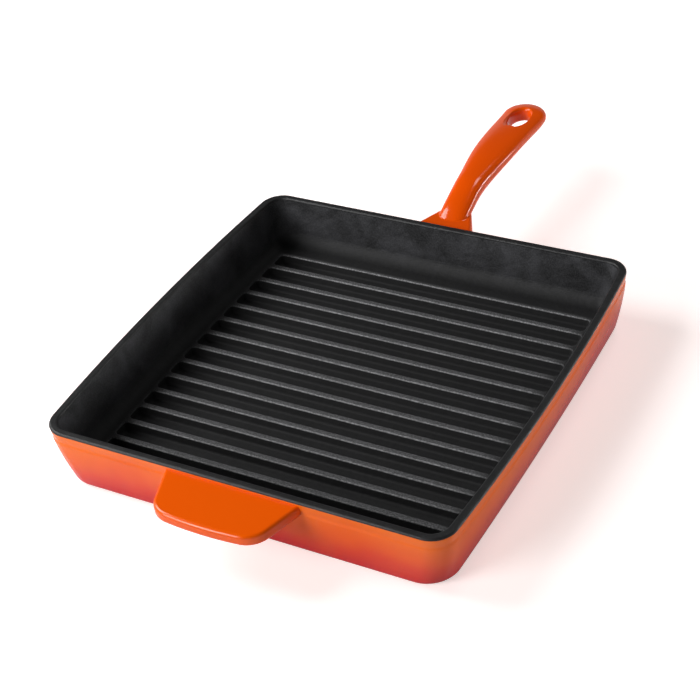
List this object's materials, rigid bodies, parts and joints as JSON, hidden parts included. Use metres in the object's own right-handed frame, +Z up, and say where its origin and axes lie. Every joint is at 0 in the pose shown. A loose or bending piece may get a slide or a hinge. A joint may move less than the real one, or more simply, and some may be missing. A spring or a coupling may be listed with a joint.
{
  "type": "grill pan",
  "caption": "Square enamelled cast-iron grill pan with raised ribs, a long handle with a hanging hole, and a short helper handle.",
  "frame": {"origin": "centre of the pan's underside, on the surface that it stands on", "axes": "+Y from the pan's centre along the long handle, +Z up, +X to the right of someone looking along +Y"},
  "size_m": [0.2596, 0.435, 0.0536],
  "materials": {
    "cast_iron": "matte",
    "black_enamel": "satin",
    "flame_enamel": "gloss",
    "orange_enamel": "gloss"
  },
  "bodies": {
    "root": {"pan_shell_casting": "cast_iron", "grill_ribs": "cast_iron", "long_handle_core": "cast_iron", "helper_handle_core": "cast_iron", "interior_enamel": "black_enamel", "rim_enamel": "black_enamel", "wall_enamel": "flame_enamel", "base_enamel": "flame_enamel", "long_handle_enamel": "orange_enamel", "helper_handle_enamel": "orange_enamel"}
  },
  "joints": []
}
